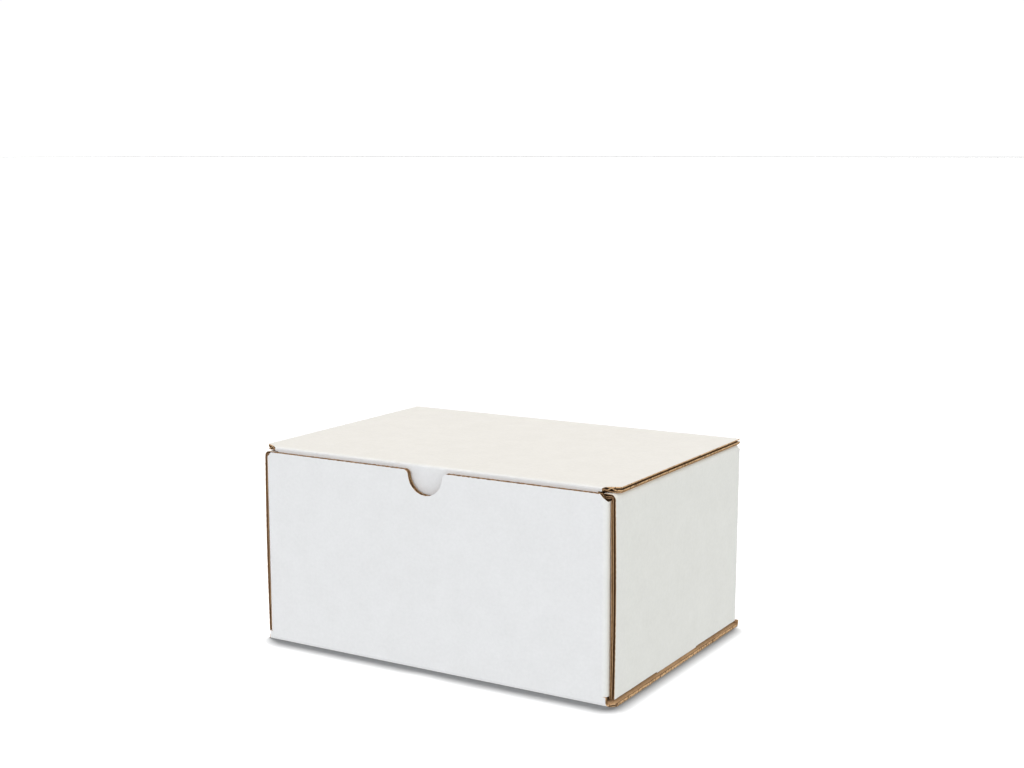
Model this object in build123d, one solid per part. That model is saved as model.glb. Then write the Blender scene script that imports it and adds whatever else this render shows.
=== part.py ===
# Corrugated mailer box, closed: a folded tray and a hinged lid with a tuck flap.
# Millimetres.  +X to the right, front at -Y, +Z up, origin under the middle of the base.
# One die-cut sheet makes the whole box.  The back panel carries the outer side walls,
# each of which rolls over at its top edge and comes down again as an inner side wall.
# The front panel carries two flaps that run back between the outer and inner walls.
import os
from math import hypot, sqrt

from build123d import *

# Clear space inside
inside_width = 203.2
inside_depth = 152.4
inside_height = 105.6

# Board and folds
board = 2.8
layer_gap = 0.2
base_fold_radius = 3.4
corner_fold_radius = 3.2
flap_fold_radius = 1.7
roll_fold_radius = 2.9
inner_fold_radius = 0.4

# Base and outer side walls
base_overhang = 1.2
base_corner_inset = 4.4
base_corner_length = 4.5
wall_lift = 1.0
wall_step = 0.7
wall_step_length = 46.0
wall_step_middle = -4.5
wall_setback = 3.2

# Inner side walls and the tabs that lock them into the base
inner_wall_end_gap = 1.0
tab_length = 30.0
tab_spacing = 76.0
tab_floor_gap = 0.5
slot_clearance = 0.3

# Front panel and its flaps
front_chamfer = 4.0
front_foot = 5.0
flap_length = 62.0
flap_end_taper = 8.0
flap_top_gap = 0.5
notch_radius = 10.8
notch_depth = 12.9
notch_shoulder_radius = 2.8

# Lid and tuck flap
lid_clearance = 0.4
hinge_gap = 0.2
lid_fold_radius = 3.0
lid_corner_inset = 8.6
lid_corner_length = 4.9
tuck_height = 32.0
tuck_setback = 0.2
tuck_swing_gap = 0.6
tuck_side_clearance = 0.8
tuck_corner_radius = 14.0

# Worked out from the sizes above
inner_wall_x = inside_width / 2
flap_x = inner_wall_x + board + layer_gap
outer_wall_x = flap_x + board + layer_gap
wall_face_x = outer_wall_x + board
front_half = flap_x + board
base_half = wall_face_x + base_overhang
depth = inside_depth + 2 * board
front_y = -depth / 2
back_y = depth / 2
lid_underside = board + inside_height
total_height = lid_underside + board
wall_top = lid_underside - lid_clearance
hinge_y = back_y - board / 2
hinge_z = total_height - board / 2
back_top = hinge_z - board / 2 - hinge_gap
wall_bottom = board + wall_lift
cut_reach = 20.0


def slab(x_range, y_range, z_range):
    """A plain block between two corners."""
    size = [high - low for low, high in (x_range, y_range, z_range)]
    middle = [(low + high) / 2 for low, high in (x_range, y_range, z_range)]
    return Pos(*middle) * Box(*size)


def mirrored(piece):
    """The piece and its mirror image on the other side of the box."""
    return [piece, mirror(piece, about=Plane.YZ)]


def direction(start, end):
    """Unit vector from one point to the next."""
    run = end[0] - start[0]
    rise = end[1] - start[1]
    length = hypot(run, rise)
    return run / length, rise / length


def offset_points(points, distance):
    """The path moved to its left by a distance, with mitred corners."""
    legs = [direction(start, end) for start, end in zip(points, points[1:])]
    moved = []
    for point, before, after in zip(points, legs[:1] + legs, legs + legs[-1:]):
        left_u = -before[1] - after[1]
        left_v = before[0] + after[0]
        reach = distance / (1 + before[0] * after[0] + before[1] * after[1])
        moved.append((point[0] + reach * left_u, point[1] + reach * left_v))
    return moved


def folded_strip(points, radii):
    """Section of a board folded along a path that follows the board's outer face.

    The board lies to the left of the path. Each corner is rounded outside by its
    own radius, and is nearly sharp inside, as a pressed crease is.
    """
    inner_points = offset_points(points, board)
    outer_edge = FilletPolyline(*points, radius=radii)
    inner_edge = FilletPolyline(*inner_points, radius=[inner_fold_radius] * len(radii))
    start_cap = Line(points[0], inner_points[0])
    end_cap = Line(points[-1], inner_points[-1])
    return make_face(Curve() + [outer_edge, start_cap, inner_edge, end_cap])


def depth_plane(x_position):
    """Plane for sections seen from the right, with +Y across and +Z up."""
    return Plane(origin=(x_position, 0, 0), x_dir=(0, 1, 0), z_dir=(1, 0, 0))


def width_plane(y_position):
    """Plane for sections seen from the front, with +X across and +Z up."""
    return Plane(origin=(0, y_position, 0), x_dir=(1, 0, 0), z_dir=(0, -1, 0))


def make_column():
    """Front, base and back panels as one folded strip, each trimmed to its width."""
    path = [(front_y, lid_underside), (front_y, 0), (back_y, 0), (back_y, back_top)]
    section = depth_plane(-base_half) * folded_strip(path, [base_fold_radius] * 2)
    column = extrude(section, amount=2 * base_half, dir=(1, 0, 0))
    front_side = slab((front_half - flap_fold_radius, base_half + cut_reach),
                      (front_y - cut_reach, front_y + 2 * board),
                      (front_foot, total_height))
    back_side = slab((wall_face_x - corner_fold_radius, base_half + cut_reach),
                     (back_y - 2 * board, back_y + cut_reach),
                     (wall_bottom, total_height))
    inset_x = base_half - base_corner_inset
    outline = Polyline((base_half, front_y + base_corner_length), (inset_x, front_y),
                       (inset_x, front_y - cut_reach),
                       (base_half + cut_reach, front_y - cut_reach),
                       (base_half + cut_reach, front_y + base_corner_length), close=True)
    corner = extrude(make_face(outline), amount=front_foot + board)
    for trim in (front_side, back_side, corner):
        for copy in mirrored(trim):
            column -= copy
    return column


def make_outer_wall():
    """Right outer side wall with its fold to the back panel."""
    start = wall_face_x - corner_fold_radius - board
    path = [(wall_face_x, front_y + wall_setback), (wall_face_x, back_y), (start, back_y)]
    profile = folded_strip(path, [corner_fold_radius])
    height = wall_top - roll_fold_radius - wall_bottom
    wall = Pos(0, 0, wall_bottom) * extrude(profile, amount=height)
    step_front = wall_step_middle - wall_step_length / 2
    wall += slab((outer_wall_x, wall_face_x), (step_front, step_front + wall_step_length),
                 (wall_bottom - wall_step, wall_bottom + board))
    return wall


def make_roll():
    """Right wall's top: over from the outer wall and down as the inner wall."""
    inner_bottom = board + layer_gap
    path = [(wall_face_x, wall_bottom), (wall_face_x, wall_top),
            (inner_wall_x, wall_top), (inner_wall_x, inner_bottom)]
    profile = folded_strip(path, [roll_fold_radius] * 2)
    length = inside_depth + board - wall_setback - inner_wall_end_gap
    roll = extrude(width_plane(front_y + wall_setback) * profile, amount=length, dir=(0, 1, 0))
    front_trim = slab((inner_wall_x - board, inner_wall_x + board + layer_gap / 2),
                      (front_y, front_y + board + inner_wall_end_gap),
                      (0, wall_top - board))
    return roll - front_trim


def tab_places():
    """Middles of the two tabs of an inner wall, front to back."""
    return (-tab_spacing / 2, tab_spacing / 2)


def make_tabs():
    """Tabs of the right inner wall, which reach down into the base."""
    tabs = []
    for place in tab_places():
        tabs.append(slab((inner_wall_x, inner_wall_x + board),
                         (place - tab_length / 2, place + tab_length / 2),
                         (tab_floor_gap, board + 2 * layer_gap)))
    return tabs


def make_slots():
    """Slots in the base round the right inner wall's tabs."""
    slots = []
    half = tab_length / 2 + slot_clearance
    for place in tab_places():
        slots.append(slab((inner_wall_x - slot_clearance, inner_wall_x + board + slot_clearance),
                          (place - half, place + half), (-board, board + layer_gap / 2)))
    return slots


def make_flap():
    """Right flap of the front panel, folded back between the two side walls."""
    start = front_half - flap_fold_radius - board
    end_y = front_y + flap_length
    path = [(start, front_y), (front_half, front_y), (front_half, end_y)]
    profile = folded_strip(path, [flap_fold_radius])
    bottom = front_foot
    flap = Pos(0, 0, bottom) * extrude(profile, amount=lid_underside - bottom)
    flap_top = wall_top - board - flap_top_gap
    behind_front = front_y + board
    outline = Polyline((behind_front, lid_underside + board), (behind_front, flap_top),
                       (end_y - flap_end_taper, flap_top),
                       (end_y + board, flap_top - flap_end_taper - board),
                       (end_y + board, lid_underside + board), close=True)
    top_cut = extrude(depth_plane(flap_x - board) * make_face(outline),
                      amount=3 * board, dir=(1, 0, 0))
    return flap - top_cut


def make_front_cuts():
    """Thumb notch in the front panel's top edge and its two chamfered corners."""
    centre_z = lid_underside - notch_depth + notch_radius
    plane = width_plane(front_y - board)
    circle = Pos(0, centre_z) * Circle(notch_radius)
    throat = Pos(0, (centre_z + lid_underside) / 2 + board) * Rectangle(
        2 * notch_radius, lid_underside - centre_z + 2 * board)
    notch = circle + throat
    for side in (-1, 1):
        shoulder = notch_radius + notch_shoulder_radius
        corner = Pos(side * (notch_radius + notch_shoulder_radius / 2),
                     lid_underside - notch_shoulder_radius / 2)
        square = corner * Rectangle(notch_shoulder_radius, notch_shoulder_radius)
        disc = Pos(side * shoulder, lid_underside - notch_shoulder_radius)
        notch += square - disc * Circle(notch_shoulder_radius)
    cuts = [extrude(plane * notch, amount=3 * board, dir=(0, 1, 0))]
    edge = front_half + board
    reach = front_chamfer + board
    corner = Polyline((edge, lid_underside - reach), (edge, lid_underside + board),
                      (edge - reach - board, lid_underside + board), close=True)
    chamfer = extrude(plane * make_face(corner), amount=4 * board, dir=(0, 1, 0))
    return cuts + mirrored(chamfer)


def make_box_body():
    """Everything of the folded box apart from the lid, as one solid."""
    body = make_column()
    for part in (make_outer_wall(), make_roll(), make_flap()):
        for copy in mirrored(part):
            body += copy
    for slot in make_slots():
        for copy in mirrored(slot):
            body -= copy
    for tab in make_tabs():
        for copy in mirrored(tab):
            body += copy
    for cut in make_front_cuts():
        body -= cut
    return body


def make_lid():
    """Lid panel and tuck flap as one folded solid, closed."""
    # The flap leans in so that its tip swings past the front panel as the lid opens.
    fold_y = front_y + board + tuck_setback
    swing = hinge_y - front_y - board - tuck_swing_gap
    tip_y = hinge_y - sqrt(swing ** 2 - (tuck_height - board / 2) ** 2)
    tip = (tip_y, total_height - sqrt(tuck_height ** 2 - (tip_y - fold_y) ** 2))
    lid_end = hinge_y - board / 2 - hinge_gap
    path = [(lid_end, total_height), (fold_y, total_height), tip]
    profile = depth_plane(-base_half) * folded_strip(path, [lid_fold_radius])
    lid = extrude(profile, amount=2 * base_half, dir=(1, 0, 0))
    corner_y = fold_y + lid_corner_length
    corner_x = base_half - lid_corner_inset
    corner = Polyline((base_half, corner_y), (base_half + board, corner_y),
                      (base_half + board, fold_y - cut_reach), (corner_x, fold_y - cut_reach),
                      (corner_x, fold_y), close=True)
    lid_corner = extrude(Pos(0, 0, lid_underside - board) * make_face(corner),
                         amount=3 * board)
    tuck_half = inner_wall_x - tuck_side_clearance
    tuck_side = slab((tuck_half, base_half + cut_reach),
                     (fold_y - cut_reach, fold_y + cut_reach),
                     (total_height - tuck_height - cut_reach, lid_underside))
    for cut in (lid_corner, tuck_side):
        for copy in mirrored(cut):
            lid -= copy
    lid -= tuck_corners(tuck_half, tip)
    return lid


def tuck_corners(tuck_half, tip):
    """Material outside the tuck flap's two rounded lower corners."""
    low = tip[1] - board
    plane = width_plane(front_y - board)
    middle = (tuck_half - tuck_corner_radius, tip[1] + tuck_corner_radius)
    corner = Pos(tuck_half - tuck_corner_radius / 2 + board / 2, (low + middle[1]) / 2)
    square = corner * Rectangle(tuck_corner_radius + board, middle[1] - low)
    disc = Pos(*middle) * Circle(tuck_corner_radius)
    prism = extrude(plane * (square - disc), amount=cut_reach, dir=(0, 1, 0))
    return mirrored(prism)


os.makedirs("parts", exist_ok=True)
export_step(make_box_body(), "parts/box_body.step")
export_step(make_lid(), "parts/lid.step")
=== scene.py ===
import math

import bpy
import numpy as np
from mathutils import Matrix, Vector


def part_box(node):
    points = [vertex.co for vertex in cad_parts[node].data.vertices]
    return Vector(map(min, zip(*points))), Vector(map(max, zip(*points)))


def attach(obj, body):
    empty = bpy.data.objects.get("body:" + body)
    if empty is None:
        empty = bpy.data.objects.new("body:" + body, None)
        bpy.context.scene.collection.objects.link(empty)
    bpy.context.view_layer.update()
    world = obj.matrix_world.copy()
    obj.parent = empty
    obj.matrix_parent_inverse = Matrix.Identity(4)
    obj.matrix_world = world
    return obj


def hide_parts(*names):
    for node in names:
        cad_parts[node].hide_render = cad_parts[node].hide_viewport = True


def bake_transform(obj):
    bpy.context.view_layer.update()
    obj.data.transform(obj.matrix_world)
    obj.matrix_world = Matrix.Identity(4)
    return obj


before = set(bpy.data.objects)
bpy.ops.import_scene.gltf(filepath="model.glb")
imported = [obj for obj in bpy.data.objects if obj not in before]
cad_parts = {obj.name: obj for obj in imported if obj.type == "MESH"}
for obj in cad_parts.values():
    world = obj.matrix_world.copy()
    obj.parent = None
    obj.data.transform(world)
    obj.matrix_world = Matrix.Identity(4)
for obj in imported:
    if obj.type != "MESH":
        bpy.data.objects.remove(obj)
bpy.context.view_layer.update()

mm = 0.001
bodyLow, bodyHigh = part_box("box_body")
lidLow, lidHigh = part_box("lid")

# Outside corners of the box, read from the frame
baseHalf = bodyHigh[0]
frontY = bodyLow[1]
backY = bodyHigh[1]
panelTop = bodyHigh[2]
topZ = lidHigh[2]
board = topZ - panelTop
hingeEndY = lidHigh[1]

boardSizes = {
    "liner": 0.3 * mm,          # paper thickness of both liners
    "medium": 0.22 * mm,        # paper thickness of the waved sheet
    "flutePitch": 5.94 * mm,
    "edgeSqueeze": 0.03,        # share of the thickness that a cut edge loses
    "frayReach": 0.3 * mm,      # width of the frayed border of the waved sheet
    "edgeReach": 1.0 * mm,
    "creaseReach": 2.4 * mm,
    "creaseLeft": 0.56,         # share of the thickness left in the middle of a crease
    "creaseMost": 10 * mm,      # a turn of a larger radius is a bow, not a crease
    "toothPitch": 3.0 * mm,     # teeth of the cutting rule
    "toothDepth": 0.16 * mm,
    "ragDepth": 0.14 * mm,
    "hair": 0.03 * mm,          # distance between rows that make a step in an edge
    "wave": 0.035 * mm,         # slow unevenness of the panels
    "waveLengths": (60 * mm, 45 * mm),
    "waveFade": 12 * mm,        # distance from a fold over which the unevenness grows
    "lean": 0.95 * mm,          # how far a side wall's top back corner leans out
    "leanFrom": 0.9,            # share of the half width where the lean starts
    "leanOver": 0.04,           # share of it over which the lean grows
    "sharpAngle": 50,           # degrees between faces that meet in a hard edge
}


# Materials

def newGroup(name, inputs, outputs):
    # An empty shader node group with named inputs and outputs.
    group = bpy.data.node_groups.new(name, "ShaderNodeTree")
    for socketName, socketType, value in inputs:
        made = group.interface.new_socket(socketName, in_out="INPUT", socket_type=socketType)
        if value is not None:
            made.default_value = value
    for socketName, socketType in outputs:
        group.interface.new_socket(socketName, in_out="OUTPUT", socket_type=socketType)
    return group, group.nodes.new("NodeGroupInput"), group.nodes.new("NodeGroupOutput")


def mathNode(tree, operation, first, second=None, third=None):
    # One Math node fed by sockets or plain numbers.
    node = tree.nodes.new("ShaderNodeMath")
    node.operation = operation
    for slot, value in enumerate((first, second, third)):
        if value is None:
            continue
        if isinstance(value, (int, float)):
            node.inputs[slot].default_value = value
        else:
            tree.links.new(value, node.inputs[slot])
    return node.outputs[0]


def noiseNode(tree, vector, scale, detail, roughness=0.5):
    # Noise of a scale in waves per metre, with detail finer layers added in falling strength.
    node = tree.nodes.new("ShaderNodeTexNoise")
    node.inputs["Scale"].default_value = scale
    node.inputs["Detail"].default_value = detail
    node.inputs["Roughness"].default_value = roughness
    tree.links.new(vector, node.inputs["Vector"])
    return node.outputs["Fac"]


def scaledVector(tree, vector, scale):
    # The vector times a scale along each axis.
    node = tree.nodes.new("ShaderNodeVectorMath")
    node.operation = "MULTIPLY"
    node.inputs[1].default_value = scale
    tree.links.new(vector, node.inputs[0])
    return node.outputs[0]


def colourRamp(tree, factor, stops):
    # A colour for each factor, by straight lines between the stops.
    node = tree.nodes.new("ShaderNodeValToRGB")
    ramp = node.color_ramp
    while len(ramp.elements) < len(stops):
        ramp.elements.new(0.5)
    for element, (place, colour) in zip(ramp.elements, stops):
        element.position = place
        element.color = (*colour, 1.0)
    tree.links.new(factor, node.inputs[0])
    return node.outputs[0]


fibreSizes = {
    "strand": 2600.0, "cloud": 95.0, "speckAndPitShade": 1100.0, "grain": 520.0,  # waves per metre
    "stretch": 0.25, "speckAndPitShadeStretch": 0.45,
    "speckAndPitShadeAbove": 0.57,  # level of the spot noise above which a spot shows: specks in the papers, painted pit shade on the cut edges
}


def makeFibreGroup():
    # Paper fibres: three noises stretched along different axes, added up,
    # give a height; a slow cloud gives a mottle from 0 to 1, a quick one a grain;
    # a stretched one above a level gives spots: specks, and painted pit shade on cut edges.
    group, source, sink = newGroup(
        "paperFibres",
        [("Vector", "NodeSocketVector", None), ("Fibre Size", "NodeSocketFloat", 1.0)],
        [("Height", "NodeSocketFloat"), ("Mottle", "NodeSocketFloat"), ("Speck And Pit Shade", "NodeSocketFloat"),
         ("Grain", "NodeSocketFloat")])
    vector = source.outputs["Vector"]
    strands = []
    for axis in range(3):
        scale = [1.0, 1.0, 1.0]
        scale[axis] = fibreSizes["stretch"]
        stretched = scaledVector(group, vector, scale)
        strands.append(noiseNode(group, stretched, fibreSizes["strand"], 3.0, 0.6))
    total = mathNode(group, "ADD", strands[0], strands[1])
    total = mathNode(group, "ADD", total, strands[2])
    height = mathNode(group, "MULTIPLY", total, 0.333)  # mean of the three
    height = mathNode(group, "MULTIPLY", height, source.outputs["Fibre Size"])
    cloud = noiseNode(group, vector, fibreSizes["cloud"], 4.0, 0.55)
    speckAndPitShadePlaces = scaledVector(group, vector, (1.0, 1.0, fibreSizes["speckAndPitShadeStretch"]))
    speckAndPitShadeNoise = noiseNode(group, speckAndPitShadePlaces, fibreSizes["speckAndPitShade"], 2.0, 0.5)
    speckAndPitShade = mathNode(group, "GREATER_THAN", speckAndPitShadeNoise, fibreSizes["speckAndPitShadeAbove"])
    grain = noiseNode(group, vector, fibreSizes["grain"], 3.0, 0.6)
    group.links.new(grain, sink.inputs["Grain"])
    group.links.new(height, sink.inputs["Height"])
    group.links.new(cloud, sink.inputs["Mottle"])
    group.links.new(speckAndPitShade, sink.inputs["Speck And Pit Shade"])
    return group


def makeWashboardGroup():
    # Flutes showing through a liner: a sine of the distance across the flutes,
    # which the UV map's first number holds in metres.
    group, source, sink = newGroup(
        "washboard",
        [("UV", "NodeSocketVector", None), ("Pitch", "NodeSocketFloat", 0.006)],
        [("Height", "NodeSocketFloat")])
    parts = group.nodes.new("ShaderNodeSeparateXYZ")
    group.links.new(source.outputs["UV"], parts.inputs[0])
    turns = mathNode(group, "DIVIDE", parts.outputs[0], source.outputs["Pitch"])
    angle = mathNode(group, "MULTIPLY", turns, 2 * math.pi)
    wave = mathNode(group, "SINE", angle)
    group.links.new(mathNode(group, "MULTIPLY_ADD", wave, 0.5, 0.5), sink.inputs["Height"])
    return group


fibreGroup = makeFibreGroup()
washboardGroup = makeWashboardGroup()


def bumpNode(tree, height, distance, strength, normal=None):
    # A normal tilted by the slope of the height times the distance.
    node = tree.nodes.new("ShaderNodeBump")
    node.inputs["Distance"].default_value = distance
    node.inputs["Strength"].default_value = strength
    tree.links.new(height, node.inputs["Height"])
    if normal is not None:
        tree.links.new(normal, node.inputs["Normal"])
    return node.outputs["Normal"]


def paperMaterial(name, look):
    # A paper surface: ramped mottle for colour, fibres and washboard for the bump.
    material = bpy.data.materials.new(name)
    material.use_nodes = True
    tree = material.node_tree
    shader = tree.nodes["Principled BSDF"]
    places = tree.nodes.new("ShaderNodeTexCoord")
    fibres = tree.nodes.new("ShaderNodeGroup")
    fibres.node_tree = fibreGroup
    fibres.inputs["Fibre Size"].default_value = 1.0
    tree.links.new(places.outputs["Object"], fibres.inputs["Vector"])
    colour = colourRamp(tree, fibres.outputs["Mottle"], look["stops"])
    # Darker spots mixed in: specks in the liners and fluting, and painted pit shade on the cut edges.
    if look["speckAndPitShade"] > 0:
        mix = tree.nodes.new("ShaderNodeMix")
        mix.data_type = "RGBA"
        mix.inputs["B"].default_value = (*look["speckAndPitShadeColour"], 1.0)
        tree.links.new(mathNode(tree, "MULTIPLY", fibres.outputs["Speck And Pit Shade"], look["speckAndPitShade"]),
                       mix.inputs["Factor"])
        tree.links.new(colour, mix.inputs["A"])
        colour = mix.outputs["Result"]
    shade = mathNode(tree, "MULTIPLY_ADD", fibres.outputs["Grain"],
                     2 * look["grain"], 1 - look["grain"])
    tint = tree.nodes.new("ShaderNodeVectorMath")
    tint.operation = "SCALE"
    tree.links.new(colour, tint.inputs[0])
    tree.links.new(shade, tint.inputs["Scale"])
    tree.links.new(tint.outputs[0], shader.inputs["Base Color"])
    rough = mathNode(tree, "MULTIPLY_ADD", fibres.outputs["Mottle"], 0.12, look["roughness"] - 0.06)
    tree.links.new(rough, shader.inputs["Roughness"])
    shader.inputs["Specular IOR Level"].default_value = look["specular"]
    normal = bumpNode(tree, fibres.outputs["Height"], look["fibreDepth"], 0.6)
    if look["washboard"] > 0:
        washboard = tree.nodes.new("ShaderNodeGroup")
        washboard.node_tree = washboardGroup
        washboard.inputs["Pitch"].default_value = boardSizes["flutePitch"]
        tree.links.new(places.outputs["UV"], washboard.inputs["UV"])
        normal = bumpNode(tree, washboard.outputs["Height"], look["washboard"], 1.0, normal)
    tree.links.new(normal, shader.inputs["Normal"])
    return material


whiteLook = {
    "stops": [(0.3, (0.792, 0.790, 0.776)), (0.7, (0.818, 0.816, 0.804))], "grain": 0.05,
    "speckAndPitShade": 0.0, "speckAndPitShadeColour": (0.5, 0.5, 0.5),
    "roughness": 0.75, "specular": 0.12, "fibreDepth": 0.00002, "washboard": 0.00001,
}
kraftLook = {
    "stops": [(0.25, (0.45, 0.26, 0.13)), (0.75, (0.55, 0.34, 0.18))], "grain": 0.14,
    "speckAndPitShade": 0.30, "speckAndPitShadeColour": (0.20, 0.105, 0.05),
    "roughness": 0.9, "specular": 0.2, "fibreDepth": 0.00006, "washboard": 0.00002,
}
# The fluting takes a brown much darker than the kraft liners. Part of it is the paper's own brown and
# part is painted shade for the voids between the flutes at the cut edges.
mediumVoidShadeLook = {
    "stops": [(0.25, (0.17, 0.097, 0.047)), (0.75, (0.25, 0.15, 0.078))], "grain": 0.25,
    "speckAndPitShade": 0.30, "speckAndPitShadeColour": (0.11, 0.06, 0.028),
    "roughness": 0.95, "specular": 0.15, "fibreDepth": 0.00008, "washboard": 0.0,
}
# The cut edge's strong dark spots are painted shade. They stand for the small pits of the cut, which
# lie in shadow.
edgeLook = {
    "stops": [(0.25, (0.60, 0.37, 0.19)), (0.75, (0.76, 0.50, 0.28))], "grain": 0.3,
    "speckAndPitShade": 0.85, "speckAndPitShadeColour": (0.15, 0.08, 0.04),
    "roughness": 0.95, "specular": 0.15, "fibreDepth": 0.0001, "washboard": 0.0,
}
whitePaper = paperMaterial("white_liner_paper", whiteLook)
kraftPaper = paperMaterial("kraft_liner_paper", kraftLook)
mediumVoidShadePaper = paperMaterial("fluting_paper_painted_void_shade", mediumVoidShadeLook)
cutPaper = paperMaterial("cut_paper_edge", edgeLook)
print("materials made")


# Folded board

def fluteShift(place, turn):
    # Shift that puts a chosen point of the wave, in turns, at a place across the flutes.
    return turn * boardSizes["flutePitch"] - place


def foldPath(corners, radii):
    # Straight runs joined by tangent arcs. Each piece starts at a length and a point
    # and keeps a heading and a curvature.
    corners = [np.array(corner, float) for corner in corners]
    legs = [after - before for before, after in zip(corners, corners[1:])]
    headings = [math.atan2(leg[1], leg[0]) for leg in legs]
    turns = [(after - before + math.pi) % (2 * math.pi) - math.pi
             for before, after in zip(headings, headings[1:])]
    cuts = [0.0] + [radius * math.tan(abs(turn) / 2) for radius, turn in zip(radii, turns)] + [0.0]
    pieces = []
    creases = []
    length = 0.0
    for index, leg in enumerate(legs):
        size = math.hypot(*leg)
        unit = leg / size
        start = corners[index] + unit * cuts[index]
        straight = size - cuts[index] - cuts[index + 1]
        pieces.append((length, start[0], start[1], headings[index], 0.0))
        length += straight
        if index < len(turns):
            arc = radii[index] * abs(turns[index])
            bend = corners[index + 1] - unit * cuts[index + 1]
            pieces.append((length, bend[0], bend[1], headings[index], turns[index] / arc))
            if radii[index] < boardSizes["creaseMost"]:
                creases.append((length, length + arc, radii[index]))
            length += arc
    return {"pieces": np.array(pieces), "length": length, "creases": creases}


def alongPath(path, s):
    # Point and left-hand normal of the path at each length s.
    pieces = path["pieces"]
    index = np.clip(np.searchsorted(pieces[:, 0], s, side="right") - 1, 0, len(pieces) - 1)
    start, a, b, heading, curve = (pieces[index, column] for column in range(5))
    run = s - start
    straight = np.abs(curve) < 1e-9
    safeCurve = np.where(straight, 1.0, curve)
    turned = heading + curve * run
    a = a + np.where(straight, run * np.cos(heading), (np.sin(turned) - np.sin(heading)) / safeCurve)
    b = b + np.where(straight, run * np.sin(heading), (np.cos(heading) - np.cos(turned)) / safeCurve)
    return a, b, -np.sin(turned), np.cos(turned)


def gridLine(stops, step, least=0.0):
    # Sorted positions through every stop, with even steps no longer than step between;
    # the step is a length or a function of the place.
    stops = np.unique(np.round(stops, 7))
    parts = []
    for low, high in zip(stops, stops[1:]):
        size = max(least, step((low + high) / 2) if callable(step) else step)
        count = max(1, math.ceil((high - low) / size))
        parts.append(np.linspace(low, high, count, endpoint=False))
    return np.append(np.concatenate(parts), stops[-1])


def pathStops(path, extra=()):
    # Stops along a path: both ends and the crease arcs, closer together near them.
    near = np.array([0.0, 0.35, 0.9, 2.0, 4.5]) * mm
    stops = [near, path["length"] - near, np.array(extra)]
    for start, end, radius in path["creases"]:
        stops.append(np.linspace(start, end, 7))
        stops.append(start - near[2:])
        stops.append(end + near[2:])
    stops = np.concatenate(stops)
    return stops[(stops >= 0) & (stops <= path["length"])]


def edgeStops(low, high, extra=()):
    # Stops across a panel: both edges, closer together near them, and the extra places.
    near = np.array([0.0, 0.35, 0.9, 2.0, 4.5]) * mm
    return np.concatenate([low + near, high - near, np.array(extra)])


def ripple(place, seed, wavelength):
    # Smooth random line: five sines with seeded phases and slightly different lengths.
    random = np.random.default_rng(seed)
    total = np.zeros_like(place)
    for _ in range(5):
        stretch = wavelength * random.uniform(0.45, 1.8)
        total += np.sin(2 * math.pi * (place / stretch + random.uniform()))
    return total / 5 ** 0.5


def ragged(place, seed):
    # How far a cut line wanders: the cutting rule's teeth as a triangle wave, and a ripple.
    teeth = np.abs(place / boardSizes["toothPitch"] % 1 - 0.5) * 2
    rag = np.clip(0.5 + 0.4 * ripple(place, seed, 5 * mm), 0, 1.2)
    return boardSizes["toothDepth"] * teeth + boardSizes["ragDepth"] * rag


def squeezeAt(distances, arcs, sideSqueeze):
    # Share of the board's thickness that is left: less at a cut edge, least in a crease.
    left = np.ones_like(distances["edge"])
    nearEdge = np.exp(-np.maximum(distances["edge"], 0) / boardSizes["edgeReach"])
    left -= boardSizes["edgeSqueeze"] * nearEdge
    left -= sideSqueeze * np.exp(-(np.maximum(distances["side"], 0) / boardSizes["edgeReach"]) ** 2)
    for away, radius in arcs:
        kept = min(boardSizes["creaseLeft"], (radius - boardSizes["liner"]) / board)
        reach = min(boardSizes["creaseReach"], 1.1 * radius)
        left *= 1 - (1 - kept) * np.exp(-(away / reach) ** 2)
    return left


# Each ply's seed of unevenness, and the depth in the board that it turns about at the lid's fold
plies = {
    "outer_liner": {"seed": 11, "turnDepth": 0.0},
    "fluting": {"seed": 12, "turnDepth": 0.3 * board},
    "inner_liner": {"seed": 13, "turnDepth": board},
}


def plyDepths(ply, across):
    # Depth of a ply's two faces below the board's white face, before any squeeze.
    liner, medium = boardSizes["liner"], boardSizes["medium"]
    if ply == "outer_liner":
        return np.zeros_like(across), np.full_like(across, liner)
    if ply == "inner_liner":
        return np.full_like(across, board - liner), np.full_like(across, board)
    room = board - 2 * liner - medium
    wave = np.sin(2 * math.pi * across / boardSizes["flutePitch"])
    middle = liner + medium / 2 + room * (0.5 + 0.5 * wave)
    return middle - medium / 2, middle + medium / 2


def leanOut(points):
    # The side walls lean outwards towards their top back corners: x moves with the
    # share of the height times the share of the depth.
    x, y, z = np.moveaxis(points, -1, 0)
    share = np.clip(z / panelTop, 0, 1) * np.clip((y - frontY) / (backY - frontY), 0, 1)
    start, grow = boardSizes["leanFrom"] * baseHalf, boardSizes["leanOver"] * baseHalf
    near = np.clip((np.abs(x) - start) / grow, 0, 1)
    return np.stack([x + np.sign(x) * boardSizes["lean"] * share * near, y, z], -1)


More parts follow.
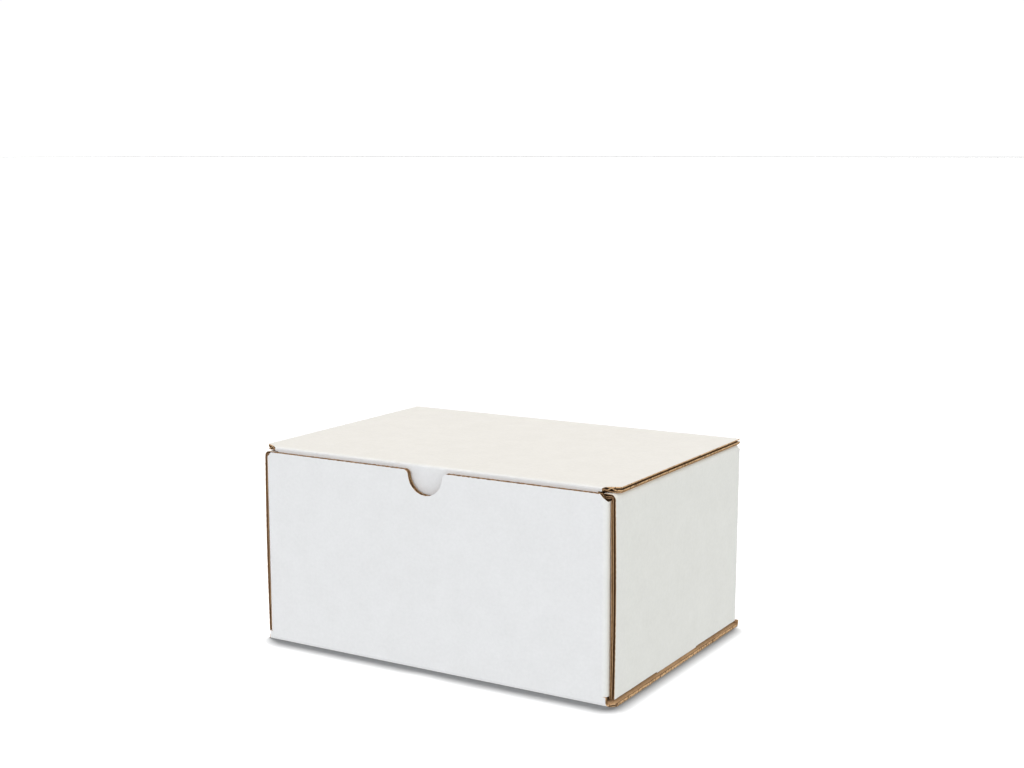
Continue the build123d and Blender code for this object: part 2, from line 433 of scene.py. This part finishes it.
def stripMesh(strip, ply):
    # A board strip's ply as a grid: each (s, q) is shaped by the strip's outline, placed on
    # the path and pushed in along the normal by the ply's depth times the squeeze.
    path = strip["path"]
    waveAlong = strip["waveAlong"]
    fine = boardSizes["flutePitch"] / 8
    least = 4 * mm if ply == "fluting" else 0.0
    stepS, leastS = (fine, 0.0) if ply == "fluting" and waveAlong == "s" else (strip["stepS"], least)
    stepQ, leastQ = (fine, 0.0) if ply == "fluting" and waveAlong == "q" else (strip["stepQ"], least)
    lineS = gridLine(strip["stopsS"], stepS, leastS)
    lineQ = gridLine(strip["stopsQ"], stepQ, leastQ)
    s, q = np.meshgrid(lineS, lineQ, indexing="ij")
    shaped = strip["shape"](s, q, plies[ply]["seed"])
    across = (shaped["s"] if waveAlong == "s" else shaped["q"]) + strip["phase"]
    left = squeezeAt(shaped, shaped["creases"], strip.get("sideSqueeze", 0.0))
    depths = plyDepths(ply, across)
    if ply == "fluting":
        # The waved sheet's cut border frays out towards both liners.
        spread = np.exp(-np.maximum(shaped["side"], 0) / boardSizes["frayReach"])
        low, high = strip.get("fray", (0.05 * mm, 0.05 * mm))
        liner, crush = boardSizes["liner"], strip.get("crush", 1.0)
        depths = [liner + (depth - liner) * crush for depth in depths]
        depths = (np.maximum(depths[0] - low * spread, liner),
                  np.minimum(depths[1] + high * spread, board - liner))
    elif ply == "outer_liner":
        # The rim of the white sheet is rolled thicker by the cut.
        spread = np.exp(-np.maximum(shaped["side"], 0) / boardSizes["frayReach"])
        depths = depths[0], depths[1] + strip.get("rim", 0.0) * spread
    sides = []
    a, b, normalA, normalB = alongPath(path, shaped["s"])
    for depth in depths:
        moved = depth * left + shaped.get("push", 0.0)
        sides.append(strip["place"](a + normalA * moved, b + normalB * moved, shaped["q"]))
    middleS = (lineS[:-1, None] + lineS[1:, None]) / 2
    middleQ = (lineQ[None, :-1] + lineQ[None, 1:]) / 2
    keep = strip["keep"](middleS, middleQ) & np.ones((len(lineS) - 1, len(lineQ) - 1), bool)
    uv = np.stack([across, shaped["q"] if waveAlong == "s" else shaped["s"]], -1)
    if strip.get("leans"):
        sides = [leanOut(side) for side in sides]
    return gridFaces(sides[0], sides[1], keep, uv)


def gridFaces(outer, inner, keep, uv):
    # Closed sheet from two grids of points: both faces where keep is true,
    # and a wall along every border between kept and dropped cells.
    rows, columns = outer.shape[:2]
    count = rows * columns
    number = np.arange(count).reshape(rows, columns)
    one, two = number[:-1, :-1][keep], number[1:, :-1][keep]
    three, four = number[1:, 1:][keep], number[:-1, 1:][keep]
    top = np.stack([one, two, three, four], -1)
    bottom = np.stack([four, three, two, one], -1) + count
    padded = np.pad(keep, 1)
    walls = []
    # Borders along s (between cells in q) and along q (between cells in s).
    inside, outside = padded[1:-1, 1:], padded[1:-1, :-1]
    for kept, away, flip in ((inside, outside, False), (outside, inside, True)):
        row, column = np.nonzero(kept & ~away)
        first, second = number[row, column], number[row + 1, column]
        walls.append(wallQuads(first, second, count, flip))
    inside, outside = padded[1:, 1:-1], padded[:-1, 1:-1]
    for kept, away, flip in ((inside, outside, True), (outside, inside, False)):
        row, column = np.nonzero(kept & ~away)
        first, second = number[row, column], number[row, column + 1]
        walls.append(wallQuads(first, second, count, flip))
    walls = np.concatenate(walls)
    points = np.concatenate([outer.reshape(-1, 3), inner.reshape(-1, 3)])
    faces = np.concatenate([top, bottom, walls])
    kinds = np.repeat([0, 1, 2], [len(top), len(bottom), len(walls)])
    # Turn everything round if the first face points into the sheet.
    corner = points[faces[0]]
    normal = np.cross(corner[1] - corner[0], corner[3] - corner[0])
    if normal @ (points[faces[0][0]] - points[faces[0][0] + count]) < 0:
        faces = faces[:, ::-1]
    used = np.unique(faces)
    renumber = np.zeros(2 * count, int)
    renumber[used] = np.arange(len(used))
    uvs = np.concatenate([uv.reshape(-1, 2)] * 2)[used]
    return points[used], renumber[faces], kinds, uvs


def wallQuads(first, second, count, flip):
    # One quad per border edge, from its two outer points to the two inner points below.
    quads = np.stack([second, first, first + count, second + count], -1)
    return quads[:, ::-1] if not flip else quads


def mirroredMesh(made):
    # The same mesh with x turned round and its faces turned to match.
    points, faces, kinds, uvs = made
    return points * np.array([-1.0, 1.0, 1.0]), faces[:, ::-1], kinds, uvs * np.array([-1.0, 1.0])


def joinMeshes(parts):
    # Several meshes as one: the point numbers of each go on from the points before it.
    start = np.cumsum([0] + [len(part[0]) for part in parts])
    points = np.concatenate([part[0] for part in parts])
    faces = np.concatenate([part[1] + offset for part, offset in zip(parts, start)])
    kinds = np.concatenate([part[2] for part in parts])
    return points, faces, kinds, np.concatenate([part[3] for part in parts])


def makeObject(name, made, materials):
    # Mesh object whose faces take materials by kind: white side, brown side, cut edge.
    points, faces, kinds, uvs = made
    mesh = bpy.data.meshes.new(name)
    mesh.from_pydata(points.tolist(), [], faces.tolist())
    for material in materials:
        mesh.materials.append(material)
    mesh.polygons.foreach_set("material_index", kinds.astype(np.int32))
    mesh.polygons.foreach_set("use_smooth", kinds < 2)
    layer = mesh.uv_layers.new(name="flutes")
    layer.data.foreach_set("uv", uvs[faces.ravel()].astype(np.float32).ravel())
    mesh.update()
    mesh.set_sharp_from_angle(angle=math.radians(boardSizes["sharpAngle"]))
    item = bpy.data.objects.new(name, mesh)
    bpy.context.scene.collection.objects.link(item)
    return item


plyMaterials = {
    "outer_liner": [whitePaper, kraftPaper, cutPaper],
    "fluting": [mediumVoidShadePaper, mediumVoidShadePaper, cutPaper],
    "inner_liner": [kraftPaper, kraftPaper, kraftPaper],
}


def slowWave(first, second, seed):
    # Slow unevenness of a panel, in and out, never outside its plane.
    along, across = boardSizes["waveLengths"]
    both = ripple(first, seed, along) + ripple(second, seed + 1, across)
    return boardSizes["wave"] * np.maximum(1.2 + 0.5 * both, 0)


# Column of front, base and back panels

columnSizes = {
    "foldRadius": 2.2 * mm,
    "foot": 5.0 * mm,            # height up to which the front keeps the base's width
    "flapFoldX": 104.5 * mm,     # where the front panel turns into its flap folds
    "cornerFoldX": 107.2 * mm,   # where the back panel turns into its corner folds
    "wallBottom": 3.5 * mm,
    "cornerInset": 4.4 * mm,
    "cornerLength": 4.5 * mm,
    "leftInset": 1.5 * mm,
    "chamfer": 4.0 * mm,
    "frontHalf": 107.4 * mm,
    "notchRadius": 10.8 * mm,
    "notchDepth": 12.9 * mm,
    "shoulderRadius": 2.8 * mm,
    "slotX": (101.3 * mm, 104.7 * mm),
    "slotMiddle": 38.0 * mm,
    "slotLength": 30.6 * mm,
}
backTop = panelTop - 0.2 * mm

# The lid's fold as the two panels that meet there see it: how far beyond a panel's end
# its middle lies, and its radius
lidFold = {"middle": 2.35 * mm, "radius": 3.0 * mm}


def notchLine(across):
    # How far the cut lies below the front panel's top: a round notch with round
    # shoulders in the middle, and a chamfer at each end.
    sizes = columnSizes
    radius, shoulder = sizes["notchRadius"], sizes["shoulderRadius"]
    away = np.abs(across)
    bowl = sizes["notchDepth"] - radius + np.sqrt(np.maximum(radius ** 2 - away ** 2, 0))
    bend = shoulder - np.sqrt(np.maximum(shoulder ** 2 - (radius + shoulder - away) ** 2, 0))
    depth = np.where(away < radius, bowl, np.where(away < radius + shoulder, bend, 0.0))
    return np.maximum(depth, away - (sizes["frontHalf"] - sizes["chamfer"]))


def makeColumnStrip():
    # Front, base and back: s runs down the front, along the base and up the back, q across.
    # The front's top follows the notch line, and the base narrows at its front corners.
    sizes = columnSizes
    path = foldPath([(frontY, panelTop), (frontY, 0), (backY, 0), (backY, backTop)],
                    [sizes["foldRadius"]] * 2)
    footS = panelTop - sizes["foot"]
    baseS = panelTop - sizes["foldRadius"] + path["creases"][0][1] - path["creases"][0][0]
    backS = path["length"] - (backTop - sizes["wallBottom"])
    flapX, cornerX = sizes["flapFoldX"], sizes["cornerFoldX"]

    def shape(s, q, seed):
        away = np.abs(q)
        top = notchLine(q)
        slope = np.gradient(top, axis=1) / np.maximum(np.gradient(q, axis=1), 1e-9)
        top = top + ragged(q, seed)
        stretched = np.where(s < footS, top + s * (footS - top) / footS, s)
        y = alongPath(path, s)[0]
        taper = np.where(s < backS, (y - frontY) / sizes["cornerLength"], 1.0)
        half = baseHalf - sizes["cornerInset"] * np.clip(1 - taper, 0, 1)
        half = np.where(q < 0, np.minimum(half, baseHalf - sizes["leftInset"] * (s > footS)), half)
        half = half - ragged(s, seed + 5)
        onBase = (s > footS - boardSizes["hair"] / 3) & (s < backS)
        squeezed = flapX + (away - flapX) * (half - flapX) / (baseHalf - flapX)
        placed = np.sign(q) * np.where((away > flapX) & onBase, squeezed, away)
        topEdge = np.where(s < footS, (stretched - top) / np.sqrt(1 + slope ** 2), 1.0)
        sideEdge = np.where(onBase, half - np.abs(placed), 1.0)
        arcs = [(stretched - (start + end) / 2, radius) for start, end, radius in path["creases"]]
        flapRadius, cornerRadius = flapSizes["foldRadius"], wallSizes["cornerRadius"]
        flapCrease = np.where(s < footS, flapX + math.pi / 4 * flapRadius - away, 1.0)
        cornerCrease = np.where(s > backS, cornerX + math.pi / 4 * cornerRadius - away, 1.0)
        arcs += [(flapCrease, flapRadius), (cornerCrease, cornerRadius)]
        arcs.append((path["length"] + lidFold["middle"] - s, lidFold["radius"]))
        return {"s": stretched, "q": placed, "edge": np.minimum(topEdge, sideEdge), "side": sideEdge,
                "creases": arcs, "push": panelPush(s, q, path, cornerX, 21)}

    slotLow, slotHigh = sizes["slotX"]
    zeroS = baseS - sizes["foldRadius"] - frontY

    def keep(s, q):
        away = np.abs(q)
        y = s - zeroS
        front = (s < footS) & (away > flapX)
        back = (s > backS) & (away > cornerX)
        slotY = np.abs(np.abs(y) - sizes["slotMiddle"]) < sizes["slotLength"] / 2
        onBase = (s > baseS) & (s < path["creases"][1][0])
        slot = onBase & slotY & (away > slotLow) & (away < slotHigh)
        return ~(front | back | slot)

    angle = np.radians(np.linspace(-90, 90, 25))
    bowlX = sizes["notchRadius"] * np.sin(angle)
    shoulderX = sizes["notchRadius"] + sizes["shoulderRadius"] * (1 - np.cos(angle[12:]))
    notchX = np.concatenate([bowlX, -shoulderX, shoulderX])
    places = [sizes["frontHalf"] - sizes["chamfer"], flapX, cornerX, slotLow, slotHigh]
    stopsQ = edgeStops(-baseHalf, baseHalf, np.concatenate([notchX, places, np.negative(places)]))
    slotRows = [zeroS + sign * sizes["slotMiddle"] + end * sizes["slotLength"] / 2
                for sign in (-1, 1) for end in (-1, 1)]
    taperEnd = baseS + sizes["cornerLength"] - sizes["foldRadius"]
    stopsS = pathStops(path, [footS, backS, taperEnd] + slotRows)
    return {"path": path, "shape": shape, "keep": keep, "waveAlong": "q",
            "phase": fluteShift(baseHalf - 0.2 * mm, 0.55), "fray": (0.35 * mm, 0.95 * mm),
            "sideSqueeze": 0.25, "leans": True,
            "stopsS": stopsS, "stopsQ": stopsQ, "stepS": 9 * mm, "stepQ": 1.5 * mm,
            "place": lambda a, b, q: np.stack([q, a, b], -1)}


def panelPush(s, q, path, halfWidth, seed):
    # Slow unevenness, faded out at the creases and at the panel's ends.
    reach = boardSizes["waveFade"]
    fade = np.clip((halfWidth - np.abs(q)) / reach, 0, 1)
    for start, end, radius in path["creases"]:
        fade = fade * np.clip(np.maximum(start - s, s - end) / reach, 0, 1)
    return slowWave(s, q, seed) * fade * np.clip((path["length"] - s) / reach, 0, 1)


# Flaps of the front panel

flapSizes = {"foldRadius": 2.9 * mm, "length": 62.0 * mm, "endTaper": 8.0 * mm,
             "foldTop": 4.0 * mm, "top": 3.7 * mm}


def makeFlapStrip():
    # A front corner's fold and its flap: s runs round the fold and back inside the wall, q up.
    sizes = flapSizes
    frontHalf = columnSizes["frontHalf"]
    path = foldPath([(frontHalf - sizes["foldRadius"], frontY), (frontHalf, frontY),
                     (frontHalf, frontY + sizes["length"])], [sizes["foldRadius"]])
    low = columnSizes["foot"]

    def shape(s, q, seed):
        x, y, _, _ = alongPath(path, s)
        chamfer = x - (frontHalf - columnSizes["chamfer"])
        taper = np.maximum(s - (path["length"] - sizes["endTaper"]), 0)
        drop = np.where(s < path["creases"][0][1], chamfer, sizes["top"] + taper)
        high = panelTop - drop - ragged(s, seed)
        z = low + (q - low) * (high - low) / (panelTop - low)
        reach = path["length"] - ragged(q, seed + 2)
        edge = np.minimum(np.minimum(high - z, z - low), reach - s)
        placed = np.minimum(s, reach)
        arcs = [(s - sum(path["creases"][0][:2]) / 2, sizes["foldRadius"])]
        return {"s": placed, "q": z, "edge": edge, "side": reach - s, "creases": arcs}

    return {"path": path, "shape": shape, "keep": lambda s, q: np.isfinite(s + q),
            "waveAlong": "s", "phase": columnSizes["flapFoldX"], "stopsS": pathStops(path),
            "stopsQ": edgeStops(low, panelTop), "stepS": 3 * mm, "stepQ": 1.5 * mm,
            "place": lambda a, b, q: np.stack([a, b, q], -1)}


# Side walls

wallSizes = {
    "faceX": 110.4 * mm, "innerX": 101.6 * mm, "rollRadius": 2.9 * mm, "cornerRadius": 3.2 * mm,
    "topGap": 0.4 * mm, "setback": 3.2 * mm, "bottom": 3.5 * mm, "innerBottom": 3.0 * mm,
    "innerFront": 3.8 * mm, "rollEnd": 3.8 * mm,
    "stepDepth": 0.6 * mm, "stepMiddle": -2.75 * mm, "stepLength": 49.5 * mm,
    "tabDepth": 2.5 * mm, "tabMiddle": 38.0 * mm, "tabLength": 30.0 * mm,
    "bow": 0.55 * mm,
    "cornerMiddle": 2.5 * mm,    # from the wall's flat end to the middle of its corner fold
    "edgeBlend": 6 * mm,         # length over which an edge's shape fades into the panel
    "bottomRag": 0.6, "topRag": 0.3,  # shares of the ragged line that these edges show
}
wallTop = panelTop - wallSizes["topGap"]


def makeWallStrip():
    # A side wall: s runs up the outer layer, over the roll and down the inner layer, q from
    # front to back. The outer layer bows out by a sine of its height times a cosine of q.
    sizes = wallSizes
    faceX, innerX = sizes["faceX"], sizes["innerX"]
    path = foldPath([(faceX, sizes["bottom"]), (faceX, wallTop), (innerX, wallTop),
                     (innerX, sizes["innerBottom"])], [sizes["rollRadius"]] * 2)
    rollS = path["creases"][0][0]
    innerS = path["creases"][1][1]
    low, high = frontY + sizes["setback"], backY - sizes["cornerRadius"]
    reach = sizes["edgeBlend"]

    def onSpan(y, middle, length):
        return np.abs(y - middle) < length / 2

    def shape(s, q, seed):
        frontCut = low + (sizes["innerFront"] - sizes["setback"]) * (s > innerS) + ragged(s, seed)
        backCut = np.where(s < rollS, high, backY - sizes["rollEnd"] - ragged(s, seed + 1))
        y = frontCut + (q - low) * (backCut - frontCut) / (high - low)
        step = sizes["stepDepth"] * onSpan(q, sizes["stepMiddle"], sizes["stepLength"])
        tab = sizes["tabDepth"] * onSpan(np.abs(q), sizes["tabMiddle"], sizes["tabLength"])
        bottom = ragged(q, seed + 2) * sizes["bottomRag"] - step
        end = path["length"] - ragged(q, seed + 3) * sizes["bottomRag"] + tab
        placed = s + bottom * np.clip(1 - s / reach, 0, 1)
        placed = placed + (end - path["length"]) * np.clip(1 - (path["length"] - s) / reach, 0, 1)
        backEdge = np.where(s < rollS, 1.0, backCut - y)
        side = np.minimum(y - frontCut, backEdge)
        edge = np.minimum(side, np.minimum(placed - bottom, end - placed))
        arcs = [(s - (start + stop) / 2, radius) for start, stop, radius in path["creases"]]
        arcs.append((np.where(s < rollS, high + sizes["cornerMiddle"] - y, 1.0), sizes["cornerRadius"]))
        rise = np.sin(math.pi * np.clip(s / rollS, 0, 1))
        bow = sizes["bow"] * rise * np.cos(math.pi / 2 * np.clip((q - low) / (high - low), 0, 1))
        return {"s": placed, "q": y, "edge": edge, "side": side, "creases": arcs, "push": -bow}

    hair = boardSizes["hair"]
    slotEnds = [sign * sizes["tabMiddle"] + end * (sizes["tabLength"] / 2) + jump
                for sign in (-1, 1) for end in (-1, 1) for jump in (-hair, hair)]
    stepEnds = [sizes["stepMiddle"] + end * sizes["stepLength"] / 2 + jump
                for end in (-1, 1) for jump in (-hair, hair)]
    return {"path": path, "shape": shape, "keep": lambda s, q: np.isfinite(s + q),
            "waveAlong": "q", "leans": True, "phase": fluteShift(low + 0.2 * mm, 0.04),
            "fray": (0.03 * mm, 0.12 * mm),
            "stopsS": pathStops(path), "stopsQ": edgeStops(low, high, slotEnds + stepEnds),
            "stepS": lambda s: (1.5 if s < innerS else 6) * mm, "stepQ": 3 * mm,
            "place": lambda a, b, q: np.stack([a, q, b], -1)}


def makeCornerStrip():
    # The quarter turn from a side wall into the back: s runs round it, q up.
    sizes = wallSizes
    faceX, radius = sizes["faceX"], sizes["cornerRadius"]
    path = foldPath([(faceX, backY - radius), (faceX, backY), (faceX - radius, backY)], [radius])
    low, high = sizes["bottom"], wallTop - sizes["rollRadius"]

    def shape(s, q, seed):
        bottom = low + ragged(s, seed) * sizes["bottomRag"]
        top = high - ragged(s, seed + 1) * sizes["topRag"]
        z = bottom + (q - low) * (top - bottom) / (high - low)
        arcs = [(s - path["length"] / 2, radius)]
        return {"s": s, "q": z, "edge": np.minimum(z - bottom, top - z), "side": np.ones_like(s),
                "creases": arcs}

    return {"path": path, "shape": shape, "keep": lambda s, q: np.isfinite(s + q),
            "waveAlong": "s", "leans": True, "phase": backY - radius, "stopsS": pathStops(path),
            "stopsQ": edgeStops(low, high), "stepS": 1 * mm, "stepQ": 3 * mm,
            "place": lambda a, b, q: np.stack([a, b, q], -1)}


# Lid

lidSizes = {
    "foldRadius": 1.4 * mm, "setback": 3.0 * mm, "cornerInset": 8.6 * mm, "cornerLength": 4.9 * mm,
    "tuckHeight": 32.0 * mm, "tuckHalf": 100.8 * mm, "tuckCorner": 14.0 * mm,
    "bowDrop": 20.0 * mm, "bowIn": 0.9 * mm, "bowRadius": 60.0 * mm,
    "shoulderDrop": 1.0 * mm,
    "edgeShift": 7.7 * mm,       # keeps the left and right edges' teeth out of step
}


def makeLidStrip():
    # Lid and tuck flap: s runs from the fold at the back to the front and down, q across.
    # The lid narrows at its front corners, and circles round the tuck flap's corners.
    sizes = lidSizes
    foldY = frontY + sizes["setback"]
    drop = topZ - lidLow[2]
    tip = (foldY + math.sqrt(sizes["tuckHeight"] ** 2 - drop ** 2), lidLow[2])
    bowPoint = (foldY + sizes["bowIn"], topZ - sizes["bowDrop"])
    path = foldPath([(hingeEndY, topZ), (foldY, topZ), bowPoint, tip],
                    [sizes["foldRadius"], sizes["bowRadius"]])
    foldS = hingeEndY - foldY
    taperS = foldS - sizes["cornerLength"]
    shoulderS = path["creases"][0][1] + sizes["shoulderDrop"]
    innerX = sizes["tuckHalf"] - sizes["tuckCorner"]

    def shape(s, q, seed):
        away = np.abs(q)
        foldHalf = baseHalf - sizes["cornerInset"]
        half = baseHalf - sizes["cornerInset"] * np.clip((s - taperS) / sizes["cornerLength"], 0, 1)
        half = np.where(s > shoulderS, sizes["tuckHalf"], half)
        left = np.clip(sizes["tuckCorner"] - (path["length"] - s), 0, sizes["tuckCorner"])
        half = half - (sizes["tuckCorner"] - np.sqrt(sizes["tuckCorner"] ** 2 - left ** 2))
        half = half - ragged(s + np.sign(q) * sizes["edgeShift"], seed)
        squeezed = innerX + (away - innerX) * (half - innerX) / (baseHalf - innerX)
        placed = np.where(away > innerX, squeezed, away)
        end = path["length"] - ragged(q, seed + 1)
        rolled = np.minimum(s, end)
        edge = np.minimum(half - placed, end - rolled)
        arcs = [(s - (start + stop) / 2, radius) for start, stop, radius in path["creases"]]
        arcs.append((s + lidFold["middle"], lidFold["radius"]))
        push = panelPush(path["length"] - s, q, {"creases": [], "length": path["length"]}, baseHalf, 41)
        push = push * np.clip(np.abs(s - foldS) / boardSizes["waveFade"], 0, 1)
        return {"s": rolled, "q": np.sign(q) * placed, "edge": edge, "side": half - placed,
                "creases": arcs, "push": push}

    parts = (1.0, 0.8, 0.6, 0.4, 0.25, 0.12, 0.05)  # rows that round the tuck flap's corners
    cornerRows = [path["length"] - sizes["tuckCorner"] * part for part in parts]
    stopsS = pathStops(path, [taperS, foldS, shoulderS + boardSizes["hair"]] + cornerRows)
    return {"path": path, "shape": shape, "keep": lambda s, q: np.isfinite(s + q),
            "waveAlong": "q", "phase": fluteShift(baseHalf - 0.2 * mm, 0.45),
            "fray": (0.0, 0.45 * mm), "sideSqueeze": -0.1, "rim": 0.28 * mm,
            "stopsS": stopsS, "stopsQ": edgeStops(-baseHalf, baseHalf, [-innerX, innerX]),
            "stepS": 1.5 * mm, "stepQ": 4.5 * mm,
            "place": lambda a, b, q: np.stack([q, a, b], -1)}


def makeHingeStrip():
    # The lid's fold: a quarter turn that widens evenly from the back panel to the lid.
    radius = topZ - backTop
    path = foldPath([(backY, backTop), (backY, topZ), (backY - radius, topZ)], [radius])

    def shape(s, q, seed):
        narrow = columnSizes["cornerFoldX"]
        half = narrow + (baseHalf - narrow) * s / path["length"] - ragged(s, seed)
        placed = q * half / baseHalf
        arcs = [(s - path["length"] / 2, radius)]
        side = half - np.abs(placed)
        return {"s": s, "q": placed, "edge": side, "side": side, "creases": arcs}

    return {"path": path, "shape": shape, "keep": lambda s, q: np.isfinite(s + q),
            "waveAlong": "q", "phase": 0.0, "crush": 0.45, "stopsS": pathStops(path),
            "stopsQ": edgeStops(-baseHalf, baseHalf), "stepS": 0.8 * mm, "stepQ": 6 * mm,
            "place": lambda a, b, q: np.stack([q, a, b], -1)}


bodyStrips = {
    "panels": [(makeColumnStrip(), False)],
    "walls": [(makeWallStrip(), True), (makeCornerStrip(), True)],
    "flaps": [(makeFlapStrip(), True)],
}
for group, strips in bodyStrips.items():
    for ply in plies:
        parts = []
        for strip, bothSides in strips:
            made = stripMesh(strip, ply)
            parts.append(made)
            if bothSides:
                parts.append(mirroredMesh(made))
        # The side walls' cut edges take the darker kraft paper instead of the cut-edge paper. This is
        # painted shade for wall rims that lie in shadow.
        rim = kraftPaper if group == "walls" else plyMaterials[ply][2]
        item = makeObject(group + "_" + ply, joinMeshes(parts), plyMaterials[ply][:2] + [rim])
        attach(item, "box")
        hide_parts("box_body")
        print(group, ply, len(item.data.polygons), "faces")

for ply in plies:
    item = makeObject("lid_" + ply, stripMesh(makeLidStrip(), ply), plyMaterials[ply])
    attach(item, "lid")
    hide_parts("lid")
    print("lid", ply, len(item.data.polygons), "faces")

# Every ply of the lid's fold turns between its own two ends, at its own depth in the board
for ply in plies:
    item = makeObject("hinge_" + ply, stripMesh(makeHingeStrip(), ply), plyMaterials[ply])
    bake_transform(item)
    print("hinge", ply, len(item.data.polygons), "faces")
print("lid fold made")


# Floor, light and camera

stageLook = {
    "reach": 40.0, "wallHeight": 20.0, "wallFoot": 1.0,
    "floorColour": (0.30, 0.303, 0.308), "wallGlow": 1.02,
    "worldColour": (0.985, 0.99, 1.0), "worldStrength": 0.72,
}


def plainMaterial(name, colour, glow):
    # Matt colour, or an even glow with no reflection.
    material = bpy.data.materials.new(name)
    material.use_nodes = True
    shader = material.node_tree.nodes["Principled BSDF"]
    shader.inputs["Base Color"].default_value = (*colour, 1)
    shader.inputs["Roughness"].default_value = 0.9
    shader.inputs["Specular IOR Level"].default_value = 0.05
    shader.inputs["Emission Color"].default_value = (1, 1, 1, 1)
    shader.inputs["Emission Strength"].default_value = glow
    return material


def makeStage():
    # A flat floor with a plain glowing backdrop at each edge; neither lights the box.
    reach, height, sunk = stageLook["reach"], stageLook["wallHeight"], stageLook["wallFoot"]
    corners = {
        "floor": [(-reach, -reach, 0), (reach, -reach, 0), (reach, reach, 0), (-reach, reach, 0)],
    }
    ground = corners["floor"]
    for number, (start, end) in enumerate(zip(ground, ground[1:] + ground[:1])):
        startX, startY, endX, endY = *start[:2], *end[:2]
        corners["backdrop_" + str(number)] = [(endX, endY, -sunk), (startX, startY, -sunk),
                                              (startX, startY, height), (endX, endY, height)]
    looks = {"floor": (stageLook["floorColour"], 0.0),
             "backdrop": ((0.0, 0.0, 0.0), stageLook["wallGlow"])}
    materials = {name: plainMaterial(name + "_white", *look) for name, look in looks.items()}
    for name, points in corners.items():
        mesh = bpy.data.meshes.new(name)
        mesh.from_pydata(points, [], [(0, 1, 2, 3)])
        mesh.materials.append(materials[name.split("_")[0]])
        item = bpy.data.objects.new(name, mesh)
        item.visible_diffuse = False
        bpy.context.scene.collection.objects.link(item)


def aimed(item, place, target):
    # Stands an object at a place with its -Z axis towards the target.
    item.location = place
    item.rotation_euler = (Vector(target) - Vector(place)).to_track_quat("-Z", "Y").to_euler()
    bpy.context.scene.collection.objects.link(item)


def makeLights(lamps, floor):
    # A lamp marked floorOnly lights the floor alone; every other lamp lights everything.
    floorOnly = bpy.data.collections.new("floor_only")
    floorOnly.objects.link(floor)
    for name, lamp in lamps.items():
        light = bpy.data.lights.new(name, lamp["kind"])
        light.color = lamp["colour"]
        light.energy = lamp["power"]
        if lamp["kind"] == "SUN":
            light.angle = math.radians(lamp["size"])
        else:
            light.shape = "DISK"
            light.size = lamp["size"]
        item = bpy.data.objects.new(name, light)
        aimed(item, lamp["place"], (0, 0, 0.05))
        if lamp.get("floorOnly"):
            item.light_linking.receiver_collection = floorOnly


makeStage()
makeLights({
    "overhead": {"kind": "SUN", "place": (-0.11, 0.165, 2.4), "size": 6.0, "power": 0.84,
                 "colour": (1.0, 0.857, 0.645)},
    "floor_sun": {"kind": "SUN", "place": (-0.11, 0.165, 2.4), "size": 6.0, "power": 9.9,
                  "colour": (1.0, 1.0, 1.0), "floorOnly": True},
    "front_fill": {"kind": "AREA", "place": (-0.6, -4.95, 0.85), "size": 2.6, "power": 84.0,
                   "colour": (0.86, 0.90, 1.0)},
    "right_fill": {"kind": "AREA", "place": (5.3, -0.9, 0.95), "size": 2.6, "power": 58.0,
                   "colour": (0.96, 1.0, 0.80)},
    "left_fill": {"kind": "AREA", "place": (-3.2, 0.6, 0.25), "size": 1.0, "power": 20.0,
                  "colour": (1.0, 1.0, 1.0)},
    "back_fill": {"kind": "AREA", "place": (0.15, 3.2, 0.25), "size": 1.0, "power": 20.0,
                  "colour": (1.0, 1.0, 1.0)},
}, bpy.data.objects["floor"])

world = bpy.data.worlds.new("studio")
world.use_nodes = True
world.node_tree.nodes["Background"].inputs["Color"].default_value = (*stageLook["worldColour"], 1)
world.node_tree.nodes["Background"].inputs["Strength"].default_value = stageLook["worldStrength"]
bpy.context.scene.world = world
bpy.context.scene.view_settings.view_transform = "Standard"

cameraSizes = {
    "place": (0.4482, -0.7332, 0.2756), "azimuth": 31.11, "down": 8.694, "roll": -0.158,
    "lens": 54.39,
}


def makeCamera(sizes):
    # Looks along a direction given by its turn round Z and its tilt down,
    # then rolls about that direction.
    azimuth, down, roll = (math.radians(sizes[key]) for key in ("azimuth", "down", "roll"))
    ahead = Vector((-math.sin(azimuth) * math.cos(down), math.cos(azimuth) * math.cos(down),
                    -math.sin(down)))
    right = Vector((math.cos(azimuth), math.sin(azimuth), 0))
    up = right.cross(ahead)
    rolledRight = right * math.cos(roll) + up * math.sin(roll)
    rolledUp = up * math.cos(roll) - right * math.sin(roll)
    item = bpy.data.objects.new("camera", bpy.data.cameras.new("camera"))
    bpy.context.scene.collection.objects.link(item)
    item.location = sizes["place"]
    item.rotation_euler = Matrix((rolledRight, rolledUp, -ahead)).transposed().to_euler()
    item.data.lens = sizes["lens"]
    item.data.sensor_width = 36.0
    item.data.clip_start = 0.01
    bpy.context.scene.camera = item


makeCamera(cameraSizes)
print("floor, lights and camera made")
